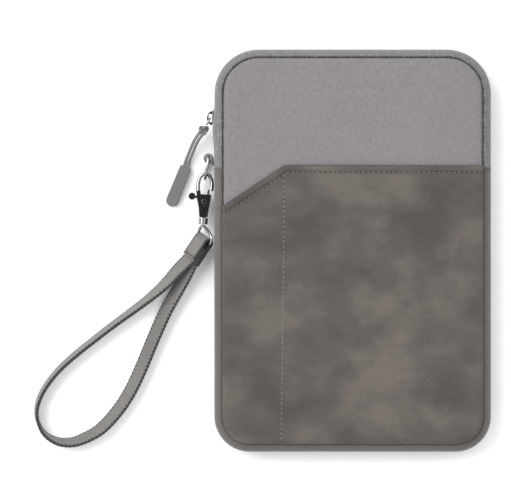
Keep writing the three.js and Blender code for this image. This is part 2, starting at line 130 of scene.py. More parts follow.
def smooth_path(points, per_span):
    """Points of a Catmull-Rom curve through the given points."""
    points = [Vector(p) for p in points]
    last = len(points) - 1
    out = []
    for i in range(last):
        p0, p1 = points[max(i - 1, 0)], points[i]
        p2, p3 = points[i + 1], points[min(i + 2, last)]
        for step in range(per_span):
            t = step / per_span
            out.append(0.5 * (2 * p1 + (p2 - p0) * t + (2 * p0 - 5 * p1 + 4 * p2 - p3) * t * t
                              + (3 * p1 - p0 - 3 * p2 + p3) * t ** 3))
    return out + [points[-1]]


def tube_rings(path, radius, sides, closed=False):
    """Rings of a tube; radius may be a number or a function of the distance along."""
    count = len(path)
    tangents = []
    for i in range(count):
        a = path[(i - 1) % count] if closed else path[max(i - 1, 0)]
        b = path[(i + 1) % count] if closed else path[min(i + 1, count - 1)]
        tangents.append((b - a).normalized())
    normal = tangents[0].orthogonal().normalized()
    rings, along = [], 0.0
    for i in range(count):
        normal = (normal - tangents[i] * normal.dot(tangents[i])).normalized()
        side = tangents[i].cross(normal)
        if i:
            along += (path[i] - path[i - 1]).length
        r = radius(along) if callable(radius) else radius
        rings.append([path[i] + (normal * math.cos(a) + side * math.sin(a)) * r
                      for a in (2 * math.pi * k / sides for k in range(sides))])
    return rings


def skin(rings, closed=False):
    """Vertices and faces over rings of equal size, with flat ends unless closed."""
    sides, count = len(rings[0]), len(rings)
    verts = [v for ring in rings for v in ring]
    faces = []
    for i in range(count if closed else count - 1):
        j = (i + 1) % count
        for k in range(sides):
            m = (k + 1) % sides
            faces.append((i * sides + k, i * sides + m, j * sides + m, j * sides + k))
    if not closed:
        faces.append(tuple(range(sides))[::-1])
        faces.append(tuple((count - 1) * sides + k for k in range(sides)))
    return verts, faces


def merge(parts):
    verts, faces = [], []
    for part_verts, part_faces in parts:
        base = len(verts)
        verts += part_verts
        faces += [tuple(base + k for k in face) for face in part_faces]
    return verts, faces


def tube(name, path, radius, sides, closed=False):
    verts, faces = skin(tube_rings(path, radius, sides, closed), closed)
    return recalc_normals(make_object(name, verts, faces))


def capsule(centre, along, side, up, half, sizes, steps=6, sides=8):
    """A stitch: a small grain of thread, long in the along direction."""
    rings = []
    for i in range(steps + 1):
        a = math.pi * i / steps
        reach, wide = -math.cos(a) * half, max(math.sin(a), 0.05) ** 0.6
        rings.append([centre + along * reach
                      + side * math.cos(b) * wide * sizes[0] + up * math.sin(b) * wide * sizes[1]
                      for b in (2 * math.pi * k / sides for k in range(sides))])
    return skin(rings)


def even_points(path, pitch):
    """Points and directions every pitch along a path."""
    out, carry = [], pitch / 2
    for a, b in zip(path, path[1:]):
        length = (b - a).length
        if length < 1e-9:
            continue
        while carry <= length:
            out.append((a.lerp(b, carry / length), (b - a) / length))
            carry += pitch
        carry -= length
    return out


def rounded_copy(name, node, voxel, passes):
    """A finer, softened copy of a CAD node."""
    source = frame["nodes"][node]
    obj = bpy.data.objects.new(name, source.data.copy())
    obj.data.materials.clear()
    bpy.context.scene.collection.objects.link(obj)
    remesh = obj.modifiers.new("voxels", "REMESH")
    remesh.mode = "VOXEL"
    remesh.voxel_size = voxel * MM
    soften = obj.modifiers.new("soften", "SMOOTH")
    soften.factor = 0.5
    soften.iterations = passes
    apply_modifiers(obj)
    return obj


# The outline of the case: places on it with their outward directions

def outline_samples(spacing=2.0, arc_steps=16):
    x, y = WIDTH / 2, LENGTH / 2
    out = []

    def straight(a, b, normal):
        steps = max(2, round((Vector(b) - Vector(a)).length / spacing))
        out.extend((Vector(a).lerp(Vector(b), k / steps), Vector(normal)) for k in range(steps))

    def corner(cx, cy, radius, start):
        for k in range(arc_steps):
            a = start + math.pi / 2 * k / arc_steps
            normal = Vector((math.cos(a), math.sin(a)))
            out.append((Vector((cx, cy)) + normal * radius, normal))

    t, b = TOP_RADIUS, BOTTOM_RADIUS
    straight((x, SEAM_Y), (x, y - t), (1, 0))
    corner(x - t, y - t, t, 0)
    straight((x - t, y), (-x + t, y), (0, 1))
    corner(-x + t, y - t, t, math.pi / 2)
    straight((-x, y - t), (-x, SEAM_Y), (-1, 0))
    upper = len(out)
    straight((-x, SEAM_Y), (-x, -y + b), (-1, 0))
    corner(-x + b, -y + b, b, math.pi)
    straight((-x + b, -y), (x - b, -y), (0, -1))
    corner(x - b, -y + b, b, 1.5 * math.pi)
    straight((x, -y + b), (x, SEAM_Y), (1, 0))
    return out, upper


SAMPLES, UPPER_COUNT = outline_samples()
UPPER_EDGE = SAMPLES[:UPPER_COUNT] + [SAMPLES[UPPER_COUNT]]
LOWER_EDGE = SAMPLES[UPPER_COUNT:] + [(Vector((WIDTH / 2, SEAM_Y)), Vector((1, 0)))]
ALL_EDGE = SAMPLES


def edge_point(sample, inset, z, bulge=0.0):
    place, normal = sample
    return Vector((*(place - normal * (inset - bulge)), z))


def open_bulge(sample):
    """The zip stands open below its slider, and pushes the edge out there."""
    place, normal = sample
    if normal.x > -0.9:
        return 0.0
    return 1.1 * math.exp(-((place.y - 71) / 9) ** 2)


def edge_band(name, samples, profile, closed=False, bulge=False):
    """A band of the given (inset, z) section along the case's edge."""
    rings = [[edge_point(s, inset, z, open_bulge(s) * (1 - inset / RIM) if bulge else 0)
              for inset, z in profile] for s in samples]
    verts, faces = skin(rings, closed)
    return recalc_normals(make_object(name, verts, faces))


def rounded_section(z_from, z_to, wall=1.6, steps=10):
    """The rim's section between two heights: a round outer face and an inner face."""
    outer, inner = [], []
    for k in range(steps + 1):
        z = z_from + (z_to - z_from) * k / steps
        # a rounded-square profile: full at mid height, falling to the seam at the panels
        reach = min(abs(z - MID_Z) / (MID_Z - 0.45), 1.0)
        inset = (RIM - 0.25) * (1 - (1 - reach ** 3.2) ** (1 / 1.7))
        outer.append((inset, z))
        pull = 1 - 0.72 * reach ** 3
        inner.append((min(inset + wall * pull + 0.25, RIM - 0.15),
                      MID_Z + (z - MID_Z) * (1 - 0.09 * reach)))
    return outer + inner[::-1]


def panel_column_xs(inset, count):
    """Places across the case, close together at the round corners."""
    half = WIDTH / 2 - inset
    return [half * math.sin(math.pi / 2 * (2 * k / count - 1)) * 0.55
            + half * (2 * k / count - 1) * 0.45 for k in range(count + 1)]


def panel_top(x, inset):
    half, radius = WIDTH / 2 - inset, TOP_RADIUS - inset
    over = max(abs(x) - (half - radius), 0)
    return LENGTH / 2 - inset - radius + math.sqrt(max(radius ** 2 - over ** 2, 0))


def panel_bottom(x, inset):
    half, radius = WIDTH / 2 - inset, BOTTOM_RADIUS - inset
    over = max(abs(x) - (half - radius), 0)
    return -(LENGTH / 2 - inset - radius + math.sqrt(max(radius ** 2 - over ** 2, 0)))


def edge_distance(x, y, inset):
    """Distance from a point of a panel to the panel's edge."""
    half_x, half_y = WIDTH / 2 - inset, LENGTH / 2 - inset
    radius = (TOP_RADIUS if y > 0 else BOTTOM_RADIUS) - inset
    qx, qy = abs(x) - (half_x - radius), abs(y) - (half_y - radius)
    return radius - (math.hypot(max(qx, 0), max(qy, 0)) + min(max(qx, qy), 0))


def panel(name, inset, height, high=None, rows=96, thickness=1.0, columns=52):
    """A sheet over the case's face; height gives z from x, y and the edge distance."""
    xs = panel_column_xs(inset, columns)
    grid = []
    for x in xs:
        bottom = panel_bottom(x, inset)
        top = panel_top(x, inset) if high is None else high(x)
        column = []
        for k in range(rows + 1):
            u = 0.5 - 0.5 * math.cos(math.pi * k / rows)
            u = 0.5 * u + 0.5 * k / rows
            y = bottom + (top - bottom) * u
            column.append(Vector((x, y, height(x, y, max(edge_distance(x, y, inset), 0)))))
        grid.append(column)
    verts = [v for column in grid for v in column]
    count = rows + 1
    faces = [(i * count + k, (i + 1) * count + k, (i + 1) * count + k + 1, i * count + k + 1)
             for i in range(len(xs) - 1) for k in range(rows)]
    obj = make_object(name, verts, faces)
    shell = obj.modifiers.new("thickness", "SOLIDIFY")
    shell.thickness = abs(thickness) * MM
    shell.offset = -1 if thickness > 0 else 1
    return recalc_normals(apply_modifiers(obj))


# Materials

def linear(value):
    value /= 255
    return value / 12.92 if value <= 0.04045 else ((value + 0.055) / 1.055) ** 2.4


def rgb(*values):
    return (*(linear(v) for v in values), 1)


class Surface:
    """A Principled material with colour and bump from layered textures."""

    def __init__(self, name, roughness, metallic=0.0, sheen=0.0, specular=0.3):
        self.material = bpy.data.materials.new(name)
        self.material.use_nodes = True
        self.tree = self.material.node_tree
        self.shader = self.tree.nodes["Principled BSDF"]
        self.shader.inputs["Roughness"].default_value = roughness
        self.shader.inputs["Metallic"].default_value = metallic
        self.shader.inputs["Sheen Weight"].default_value = sheen
        self.shader.inputs["Specular IOR Level"].default_value = specular
        self.place = self.tree.nodes.new("ShaderNodeTexCoord").outputs["Object"]
        self.colour = None
        self.normal = None

    def noise(self, scale, detail=2.0, rough=0.5, stretch=(1, 1, 1)):
        mapping = self.tree.nodes.new("ShaderNodeMapping")
        mapping.inputs["Scale"].default_value = stretch
        self.tree.links.new(self.place, mapping.inputs["Vector"])
        node = self.tree.nodes.new("ShaderNodeTexNoise")
        node.inputs["Scale"].default_value = scale
        node.inputs["Detail"].default_value = detail
        node.inputs["Roughness"].default_value = rough
        self.tree.links.new(mapping.outputs["Vector"], node.inputs["Vector"])
        return node.outputs["Fac"]

    def wave(self, period, direction, distortion=0.0):
        node = self.tree.nodes.new("ShaderNodeTexWave")
        node.bands_direction = direction
        node.inputs["Scale"].default_value = 2 * math.pi / (20 * period * MM)
        node.inputs["Distortion"].default_value = distortion
        node.inputs["Detail Scale"].default_value = 1.5
        self.tree.links.new(self.place, node.inputs["Vector"])
        return node.outputs["Fac"]

    def maths(self, operation, a, b):
        node = self.tree.nodes.new("ShaderNodeMath")
        node.operation = operation
        for socket, value in zip(node.inputs, (a, b)):
            if isinstance(value, (int, float)):
                socket.default_value = value
            else:
                self.tree.links.new(value, socket)
        return node.outputs[0]

    def ramp(self, factor, stops):
        node = self.tree.nodes.new("ShaderNodeValToRGB")
        elements = node.color_ramp.elements
        while len(elements) < len(stops):
            elements.new(0.5)
        for element, (place, colour) in zip(elements, stops):
            element.position = place
            element.color = colour
        self.tree.links.new(factor, node.inputs["Fac"])
        return node.outputs["Color"]

    def tint(self, factor, stops):
        """Multiplies the colour so far by a ramp."""
        colour = self.ramp(factor, stops)
        if self.colour is None:
            self.colour = colour
        else:
            mix = self.tree.nodes.new("ShaderNodeMix")
            mix.data_type = "RGBA"
            mix.blend_type = "MULTIPLY"
            mix.inputs["Factor"].default_value = 1.0
            self.tree.links.new(self.colour, mix.inputs["A"])
            self.tree.links.new(colour, mix.inputs["B"])
            self.colour = mix.outputs["Result"]
        self.tree.links.new(self.colour, self.shader.inputs["Base Color"])

    def bump(self, height, distance, strength=1.0):
        node = self.tree.nodes.new("ShaderNodeBump")
        node.inputs["Distance"].default_value = distance * MM
        node.inputs["Strength"].default_value = strength
        self.tree.links.new(height, node.inputs["Height"])
        if self.normal is not None:
            self.tree.links.new(self.normal, node.inputs["Normal"])
        self.normal = node.outputs["Normal"]
        self.tree.links.new(self.normal, self.shader.inputs["Normal"])

    def rough(self, factor, low, high):
        node = self.tree.nodes.new("ShaderNodeMapRange")
        node.inputs["To Min"].default_value = low
        node.inputs["To Max"].default_value = high
        self.tree.links.new(factor, node.inputs["Value"])
        self.tree.links.new(node.outputs["Result"], self.shader.inputs["Roughness"])


def grey(value):
    return (value, value, value, 1)


def grey_stops(spread, low=0.3, high=0.7):
    """A ramp around white that darkens and lightens by the spread."""
    return [(low, grey(1 - spread)), (high, grey(1 + spread))]


def colour_stops(colour, darker, lighter=1.0, low=0.3, high=0.7):
    """A ramp around a colour, given in sRGB steps of 0 to 255."""
    return [(low, rgb(*(c * darker for c in colour))), (high, rgb(*(c * lighter for c in colour)))]


def cloth(name, colour, weave, spread, bump, sheen=0.25):
    surface = Surface(name, 0.92, sheen=sheen, specular=0.15)
    surface.tint(surface.noise(14, 3), colour_stops(colour, 0.985, 1.015))
    surface.tint(surface.noise(1100, 2, stretch=(1, 0.35, 1)), grey_stops(spread))
    surface.tint(surface.noise(1500, 1, stretch=(0.3, 1, 1)), grey_stops(spread * 0.8))
    across = surface.wave(weave, "X", 0.6)
    along = surface.wave(weave, "Y", 0.6)
    crossing = surface.maths("MAXIMUM", across, surface.maths("MULTIPLY", along, 0.9))
    surface.tint(crossing, [(0.0, grey(0.9)), (0.8, grey(1.03))])
    surface.bump(crossing, bump)
    return surface.material


def nubuck(name):
    surface = Surface(name, 0.8, sheen=0.2, specular=0.25)
    clouds = surface.noise(38, 6, 0.58, (0.75, 1, 1))
    surface.tint(clouds, [(0.36, rgb(66, 63, 60)), (0.5, rgb(77, 73, 69)), (0.64, rgb(90, 85, 79))])
    surface.tint(surface.noise(9, 2), [(0.3, (0.93, 0.93, 0.94, 1)), (0.7, (1.05, 1.05, 1.04, 1))])
    surface.tint(surface.noise(900, 3, 0.7), grey_stops(0.07))
    surface.bump(surface.noise(1400, 3, 0.65), 0.08, 0.7)
    surface.bump(surface.noise(60, 3), 0.25, 0.25)
    surface.rough(clouds, 0.72, 0.92)
    return surface.material


def plain(name, colour, roughness, spread=0.05, grain=700, bump=0.04, **options):
    surface = Surface(name, roughness, **options)
    surface.tint(surface.noise(40, 3), colour_stops(colour, 0.96, 1.03))
    surface.tint(surface.noise(grain, 2), grey_stops(spread))
    surface.bump(surface.noise(grain, 3, 0.6), bump)
    return surface.material


def polished(name, colour, roughness):
    surface = Surface(name, roughness, metallic=1.0, specular=0.5)
    surface.tint(surface.noise(300, 2), colour_stops(colour, 0.93))
    surface.rough(surface.noise(700, 3), roughness * 0.7, roughness * 1.5)
    surface.bump(surface.noise(350, 2), 0.02, 0.4)
    return surface.material


def twisted(name, colour, period):
    """Thread and cord: a fine slanting twist."""
    surface = Surface(name, 0.85, sheen=0.3, specular=0.2)
    turn = surface.wave(period, "DIAGONAL", 1.0)
    surface.tint(surface.noise(200, 2), colour_stops(colour, 0.95, 1.04))
    surface.tint(turn, [(0.1, grey(0.72)), (0.7, grey(1.06))])
    surface.bump(turn, 0.12, 0.8)
    return surface.material


WOVEN = cloth("woven_cloth", (114, 111, 114), 0.75, 0.085, 0.05)
EDGE_CLOTH = cloth("edge_cloth", (107, 106, 106), 0.9, 0.2, 0.10)
LOWER_EDGE_CLOTH = cloth("lower_edge_cloth", (90, 87, 84), 0.9, 0.07, 0.06)
LINING = cloth("lining_plush", (88, 87, 88), 0.6, 0.12, 0.08, 0.6)
FOAM = plain("closed_foam", (70, 70, 71), 0.95, 0.12, 900, 0.1)
NUBUCK = nubuck("nubuck")
TAPE = cloth("zip_tape", (104, 103, 105), 0.5, 0.06, 0.06)
COIL = plain("coil_nylon", (96, 95, 96), 0.45, 0.04, 900, 0.02, specular=0.5)
METAL = polished("polished_metal", (158, 158, 157), 0.12)
# A darker copy of the polished metal: painted shade for the clasp body.
SHADED_METAL = polished("shaded_clasp_metal", (92, 91, 88), 0.2)
RUBBER = plain("moulded_rubber", (98, 98, 97), 0.6, 0.03, 1200, 0.02)
CORD = twisted("braided_cord", (116, 114, 112), 0.9)
BAND = plain("band_face", (103, 101, 99), 0.75, 0.13, 1000, 0.05, sheen=0.15)
# Dark edge cord of the band; the inner ply of the fold also takes this colour as painted shade.
BAND_EDGE_AND_FOLD_SHADE = twisted("band_edge_and_fold_shade", (52, 50, 49), 0.8)
PIPING = twisted("strap_piping", (140, 137, 134), 0.7)
# Dark thread for the case seams and the strap's cross stitches; this dark colour also paints the shade in
# the seam grooves and the shadow under the pocket's edge.
DARK_THREAD_AND_SHADE = twisted("dark_thread_and_painted_shade", (58, 56, 54), 0.9)
CROSS_SEAM = twisted("cross_seam_thread", (92, 90, 88), 0.9)
POCKET_THREAD = twisted("pocket_thread", (98, 94, 89), 0.7)
DIVIDER_THREAD = twisted("divider_thread", (112, 108, 102), 0.7)
# Dark spots at the needle holes: painted shade of the holes.
HOLE_SHADE = plain("needle_hole_shade", (42, 40, 38), 0.95)


# Spans along the mouth's fold for the pieces that cross it
PANEL_FOLD = (46, 57)
RIM_FOLD = (48, 58)
ZIP_FOLD = (50, 60)


def dress(obj, material, nodes):
    """Gives a piece its material and hides the CAD nodes that it stands for."""
    obj.data.materials.clear()
    obj.data.materials.append(material)
    if nodes:
        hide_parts(*nodes)


def finish_piece(obj, body, material, slot, *nodes):
    """A piece that moves with one body."""
    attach(obj, body)
    dress(obj, material, nodes)
    return obj


def finish_blend(obj, material, slot, fold, *nodes):
    """A piece that stays in the case's frame, with its transform baked in."""
    dress(obj, material, nodes)
    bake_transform(obj)
    return obj


# Puller cord: two strands from the knot into the grip
CORD_ROUTE = [
    (-91.2, 68.8, 7.8), (-92.8, 66.6, 6.8), (-94.8, 62.8, 5.4), (-96.3, 59.2, 4.1),
    (-97.8, 55.6, 3), (-98.9, 52.6, 2.3), (-99.3, 51.2, 2.15),
]
CORD_START = (-90.0, 70.6, 8.5)
CORD_EXIT = (-88.9, 72.2, 9.2)
CORD_END = [(-100.3, 48.6, 2.1), (-101.4, 45.8, 2.05)]
STRAND = 0.95
KNOT_STEPS = 72
KNOT_SIZE = 0.86
KNOT_CORD_RADIUS = 0.85


def make_cord():
    centre = smooth_path([CORD_EXIT, CORD_START, *CORD_ROUTE, *CORD_END], 6)
    parts = []
    for side in (-1, 1):
        strand = []
        for i, point in enumerate(centre):
            along = (centre[min(i + 1, len(centre) - 1)] - centre[max(i - 1, 0)]).normalized()
            across = Vector((-along.y, along.x, 0)).normalized()
            strand.append(point + across * side * STRAND * 1.12)
        parts.append(skin(tube_rings(strand, lambda s: STRAND * (1 + 0.05 * math.sin(s * 7)), 12)))
    obj = recalc_normals(make_object("puller_cord", *merge(parts)))
    finish_piece(obj, "puller", CORD, "cord", "pull_cord")
    return obj, [tuple(p * MM) for p in centre]


def make_knot():
    """A trefoil of the cord."""
    low, high = node_box("pull_knot")
    middle = (low + high) / 2
    loop = []
    for k in range(KNOT_STEPS):
        t = 2 * math.pi * k / KNOT_STEPS
        loop.append(middle + Vector((math.sin(t) + 2 * math.sin(2 * t),
                                     math.cos(t) - 2 * math.cos(2 * t),
                                     -1.5 * math.sin(3 * t))) * KNOT_SIZE)
    obj = tube("puller_knot", loop, KNOT_CORD_RADIUS, 10, closed=True)
    return finish_piece(obj, "puller", CORD, "cord", "pull_knot")


def make_grip():
    obj = rounded_copy("puller_grip", "pull_tab", 0.28, 5)
    return finish_piece(obj, "puller", RUBBER, "grip", "pull_tab")


cord_piece, cord_path = make_cord()
knot_piece = make_knot()
grip_piece = make_grip()


# Panels of the case

def soft_face(x, y, distance, crown):
    """How far a padded face stands above its flat height."""
    edge = 1 - math.exp(-distance / 7)
    roll = -1.3 * math.exp(-distance / 1.1)
    uneven = 0.12 * math.sin(x / 21 + 1.3) * math.cos(y / 27) * edge
    return crown * edge + roll + uneven


def front_height(x, y, d):
    return FRONT_Z + 0.15 + soft_face(x, y, d, 0.45)


def back_height(x, y, d):
    return BACK_Z + 0.35 * math.exp(-d / 1.2)


front = panel("front_cloth", RIM, front_height)
finish_blend(front, WOVEN, "woven_cloth", PANEL_FOLD, "front_cover_lower", "front_cover_upper")
back = panel("back_cloth", RIM, back_height, thickness=-1.0)
finish_piece(back, "case", WOVEN, "woven_cloth", "back_cover")

FOAM_INSET = RIM + 0.6
LINING_INSET = RIM + 0.3
foam_low = node_box("front_foam_upper")[0].z
lining_top = node_box("back_lining")[1].z


def front_foam_height(x, y, d):
    return FRONT_Z - 1.1 + 0.3 * (1 - math.exp(-d / 7))


def back_foam_height(x, y, d):
    return BACK_Z + 1.15


def front_lining_height(x, y, d):
    return foam_low - 0.15 - 0.12 * math.sin(x / 17) * math.sin(y / 23) - 0.1


def back_lining_height(x, y, d):
    return lining_top + 0.1 * math.sin(x / 19) * math.sin(y / 21) - 0.1


front_foam = panel("front_padding", FOAM_INSET, front_foam_height, rows=60, thickness=2.7, columns=30)
finish_blend(front_foam, FOAM, "foam", PANEL_FOLD, "front_foam_lower", "front_foam_upper")
back_foam = panel("back_padding", FOAM_INSET, back_foam_height, rows=60, thickness=-2.7, columns=30)
finish_piece(back_foam, "case", FOAM, "foam", "back_foam")
lining_front = panel("front_lining", LINING_INSET, front_lining_height,
                     rows=80, thickness=0.6, columns=40)
finish_blend(lining_front, LINING, "lining", PANEL_FOLD, "front_lining_lower", "front_lining_upper")
lining_back = panel("back_lining_cloth", LINING_INSET, back_lining_height,
                    rows=80, thickness=0.6, columns=40)
finish_piece(lining_back, "case", LINING, "lining", "back_lining")


# Rim bands, bindings and zip

RIM_LOW = BACK_Z + 0.45
RIM_HIGH = FRONT_Z - 0.25
# From mid height to the rims beside the zip, and to the near and far edges of its tapes
ZIP_HALF_GAP = 3.4
TAPE_NEAR, TAPE_FAR = 0.6, 4.6
# Insets from the case's side: the outer and inner face of each
BINDING = (5.3, 7.6)
TAPES = (2.1, 2.7)


def flat_section(outer, inner, low, high, soft=0.25):
    return [(outer + soft, low), (inner - soft, low), (inner, low + soft), (inner, high - soft),
            (inner - soft, high), (outer + soft, high), (outer, high - soft), (outer, low + soft)]


gusset = edge_band("bottom_rim", LOWER_EDGE, rounded_section(RIM_LOW, RIM_HIGH, steps=22))
finish_piece(gusset, "case", LOWER_EDGE_CLOTH, "edge_cloth", "bottom_gusset")
section = rounded_section(RIM_LOW, MID_Z - ZIP_HALF_GAP, steps=12)
strip_back = edge_band("rim_back", UPPER_EDGE, section, bulge=True)
finish_piece(strip_back, "case", EDGE_CLOTH, "edge_cloth", "zip_strip_back")
section = rounded_section(MID_Z + ZIP_HALF_GAP, RIM_HIGH, steps=12)
strip_front = edge_band("rim_front", UPPER_EDGE, section, bulge=True)
finish_blend(strip_front, EDGE_CLOTH, "edge_cloth", RIM_FOLD, "zip_strip_front")

low, high = node_box("binding_back")
section = flat_section(*BINDING, low.z, high.z, 0.4)
binding_back = edge_band("back_binding", ALL_EDGE, section, closed=True)
finish_piece(binding_back, "case", TAPE, "tape", "binding_back")
low, high = node_box("binding_front_upper")
section = flat_section(*BINDING, low.z - 0.2, high.z - 0.2, 0.4)
binding_front = edge_band("front_binding", ALL_EDGE, section, closed=True)
finish_blend(binding_front, TAPE, "tape", PANEL_FOLD, "binding_front_lower", "binding_front_upper")

section = flat_section(*TAPES, MID_Z - TAPE_FAR, MID_Z - TAPE_NEAR, 0.15)
tape_back = edge_band("tape_back", UPPER_EDGE, section, bulge=True)
finish_piece(tape_back, "case", TAPE, "tape", "zip_tape_back")
section = flat_section(*TAPES, MID_Z + TAPE_NEAR, MID_Z + TAPE_FAR, 0.15)
tape_front = edge_band("tape_front", UPPER_EDGE, section, bulge=True)
finish_blend(tape_front, TAPE, "tape", ZIP_FOLD, "zip_tape_front")

COIL_PITCH = 1.5
COIL_HALF_WIDTH = 0.62
COIL_WIRE_RADIUS = 0.3
COIL_HALF_GAP = 0.75
# The rows stand further apart below the slider, where the zip is open
COIL_OPENING = 0.55


def coil_row(name, side):
    """One side of the zip's coil: a loop for each tooth, reaching over the middle."""
    line = [edge_point(s, 1.3, MID_Z, open_bulge(s)) for s in UPPER_EDGE]
    parts = []
    for place, along in even_points(line, COIL_PITCH):
        out = Vector((along.y, -along.x, 0))
        apart = COIL_OPENING if place.x < EDGE_X + 2 and place.y < SLIDER_Y - 4 else 0.0
        shift = 0.0 if side < 0 else COIL_PITCH / 2
        centre = place + along * shift + Vector((0, 0, side * (COIL_HALF_GAP + apart)))
        rings = []
        for k in range(12):
            a = 2 * math.pi * k / 12
            rings.append(centre + out * math.cos(a) * COIL_HALF_WIDTH + Vector((0, 0, math.sin(a)))
                         + along * 0.18 * math.sin(a))
        parts.append(skin(tube_rings(rings, COIL_WIRE_RADIUS, 6, True), True))
    return recalc_normals(make_object(name, *merge(parts)))


finish_piece(coil_row("coil_back", -1), "case", COIL, "coil", "zip_chain_back")
finish_blend(coil_row("coil_front", 1), COIL, "coil", ZIP_FOLD, "zip_chain_front")
for stop in ("zip_stop_left", "zip_stop_right"):
    piece = rounded_copy(stop.replace("zip", "coil"), stop, 0.25, 4)
    finish_piece(piece, "case", TAPE, "tape", stop)


def seam_line(name, z, radius):
    """A sewn seam round the case: dark thread that dips at every stitch, drawn dark enough to also paint the
    shade in the groove between the rim and the panel.
    """
    line = [edge_point(s, RIM - 0.1, z) for s in ALL_EDGE]
    dense = []
    for a, b in zip(line, line[1:] + line[:1]):
        steps = max(1, round((b - a).length / 0.7))
        dense += [a.lerp(b, k / steps) for k in range(steps)]

    def thickness(s):
        uneven = 1 + 0.3 * math.sin(s / 1.7) * math.sin(s / 4.1 + 1)
        return radius * uneven * (0.62 + 0.5 * abs(math.sin(math.pi * s / 2.9)))

    return tube(name, dense, thickness, 6, closed=True)


finish_blend(seam_line("front_seam_and_groove_shade", FRONT_Z - 0.6, 0.55), DARK_THREAD_AND_SHADE, "thread", PANEL_FOLD)
finish_piece(seam_line("back_seam_and_groove_shade", BACK_Z + 0.75, 0.5), "case", DARK_THREAD_AND_SHADE, "thread")


def cross_seam(name, side):
    """The raised join of the two edge bands, from the front seam round to the zip."""
    path = []
    for inset, z in rounded_section(MID_Z + 3.6, FRONT_Z - 0.3, steps=12)[:13]:
        path.append(Vector((side * (WIDTH / 2 - inset + 0.05), SEAM_Y, z)))
    return tube(name, path, 0.34, 8)


for label, side in (("left", -1), ("right", 1)):
    finish_piece(cross_seam(f"cross_seam_{label}", side), "case", CROSS_SEAM, "thread")


# Slip pocket

POCKET_INSET = RIM - 0.1
POCKET_HALF_WIDTH = WIDTH / 2 - POCKET_INSET
SLOPE_TOP = Vector((-40.3, 50.2))
SLOPE_FOOT = Vector((-77.7, 25.5))
SLOPE_RATE = (SLOPE_TOP.y - SLOPE_FOOT.y) / (SLOPE_TOP.x - SLOPE_FOOT.x)
EDGE_STEPS = 150
DIVIDER_TOP, DIVIDER_FOOT = 45.6, -114.2
DIVIDER_STEPS = 79
STITCH_PITCH = 3.0
STITCH_LENGTH = 2.1


def pocket_edge(x, drop=0.0):
    """The pocket's upper edge, with its corner rounded."""
    sloped = SLOPE_TOP.y + (x - SLOPE_TOP.x) * SLOPE_RATE - drop * math.hypot(1, SLOPE_RATE)
    level = SLOPE_TOP.y - drop - 0.35 * (x + 40) / 118
    soft = 0.5
    return -soft * math.log(math.exp(-min(sloped - level, 60) / soft) + 1) + level


def pocket_height(x, y, d):
    lift = 0.25 * (1 - math.exp(-d / 8)) + 0.1 * math.sin(x / 25 + 0.6) * math.sin(y / 31)
    line_x = divider_x(y)
    dent = -0.3 * math.exp(-((x - line_x) / 1.3) ** 2)
    return POCKET_TOP + 0.35 + soft_face(x, y, d, 0.3) * 0.7 + lift + dent


def divider_x(y):
    """The dividing stitches lean a little to the left towards their foot."""
    return -40.5 - 2.1 * (48 - y) / 164


pocket = panel("pocket_leather", POCKET_INSET, pocket_height, pocket_edge,
               rows=90, thickness=1.1, columns=72)
finish_piece(pocket, "case", NUBUCK, "soft_leather", "pocket_panel")


edge_xs = [POCKET_HALF_WIDTH * (2 * k / EDGE_STEPS - 1) for k in range(EDGE_STEPS + 1)]


def on_pocket(x, drop, lift=0.0):
    y = pocket_edge(x, drop)
    return Vector((x, y, pocket_height(x, y, max(edge_distance(x, y, POCKET_INSET), 0)) + lift))


def make_hem():
    """The turned edge: a soft flat roll, 3 mm wide."""
    section = [
        (-0.35, -0.3), (-0.2, 0.35), (0.5, 0.62), (1.6, 0.55),
        (2.6, 0.42), (3.0, 0.1), (3.0, -0.6), (0.4, -0.7),
    ]
    rings = []
    for x in edge_xs:
        ring = []
        for drop, lift in section:
            ring.append(on_pocket(x, max(drop, 0), lift) + Vector((0, -min(drop, 0), 0)))
        rings.append(ring)
    verts, faces = skin(rings)
    obj = recalc_normals(make_object("pocket_turned_edge", verts, faces))
    return finish_piece(obj, "case", NUBUCK, "soft_leather", "pocket_hem")


make_hem()


def make_pocket_edge_shadow():
    """A thin dark tube just behind the pocket's upper edge: painted shadow of the gap between the pocket and
    the front.
    """
    path = [on_pocket(x, 0, -0.35) + Vector((0, 0.25, 0)) for x in edge_xs]
    obj = tube("pocket_edge_shadow_line", path, lambda s: 0.42 + 0.1 * abs(math.sin(math.pi * s / 2.6)), 8)
    return finish_piece(obj, "case", DARK_THREAD_AND_SHADE, "thread")


make_pocket_edge_shadow()


def stitch_row(name, path):
    """Stitches that stand a little proud of their line, and dark spots between them that paint the shade of
    the needle holes.
    """
    parts, holes = [], []
    for place, along in even_points(path, STITCH_PITCH):
        side = Vector((-along.y, along.x, 0)).normalized()
        up = along.cross(side).normalized()
        if up.z < 0:
            up = -up
        half = STITCH_LENGTH / 2
        parts.append(capsule(place + up * 0.12, along, side, up, half, (0.32, 0.24)))
        hole = place + along * STITCH_PITCH / 2
        holes.append(capsule(hole, along, side, up, 0.42, (0.4, 0.12)))
    return (recalc_normals(make_object(name, *merge(parts))),
            recalc_normals(make_object(name + "_holes", *merge(holes))))


hem_line = [on_pocket(x, 3.7) for x in edge_xs]
threads, holes = stitch_row("hem_stitches", hem_line)
finish_piece(threads, "case", POCKET_THREAD, "thread", "hem_thread")
finish_piece(holes, "case", HOLE_SHADE, "thread")
divider_line = []
for k in range(DIVIDER_STEPS + 1):
    y = DIVIDER_TOP + (DIVIDER_FOOT - DIVIDER_TOP) * k / DIVIDER_STEPS
    x = divider_x(y)
    divider_line.append(Vector((x, y, pocket_height(x, y, max(edge_distance(x, y, RIM), 0)))))
threads, holes = stitch_row("divider_stitches", divider_line)
finish_piece(threads, "case", DIVIDER_THREAD, "thread", "divider_thread")
finish_piece(holes, "case", HOLE_SHADE, "thread")


# Metal parts, softened from the CAD shapes

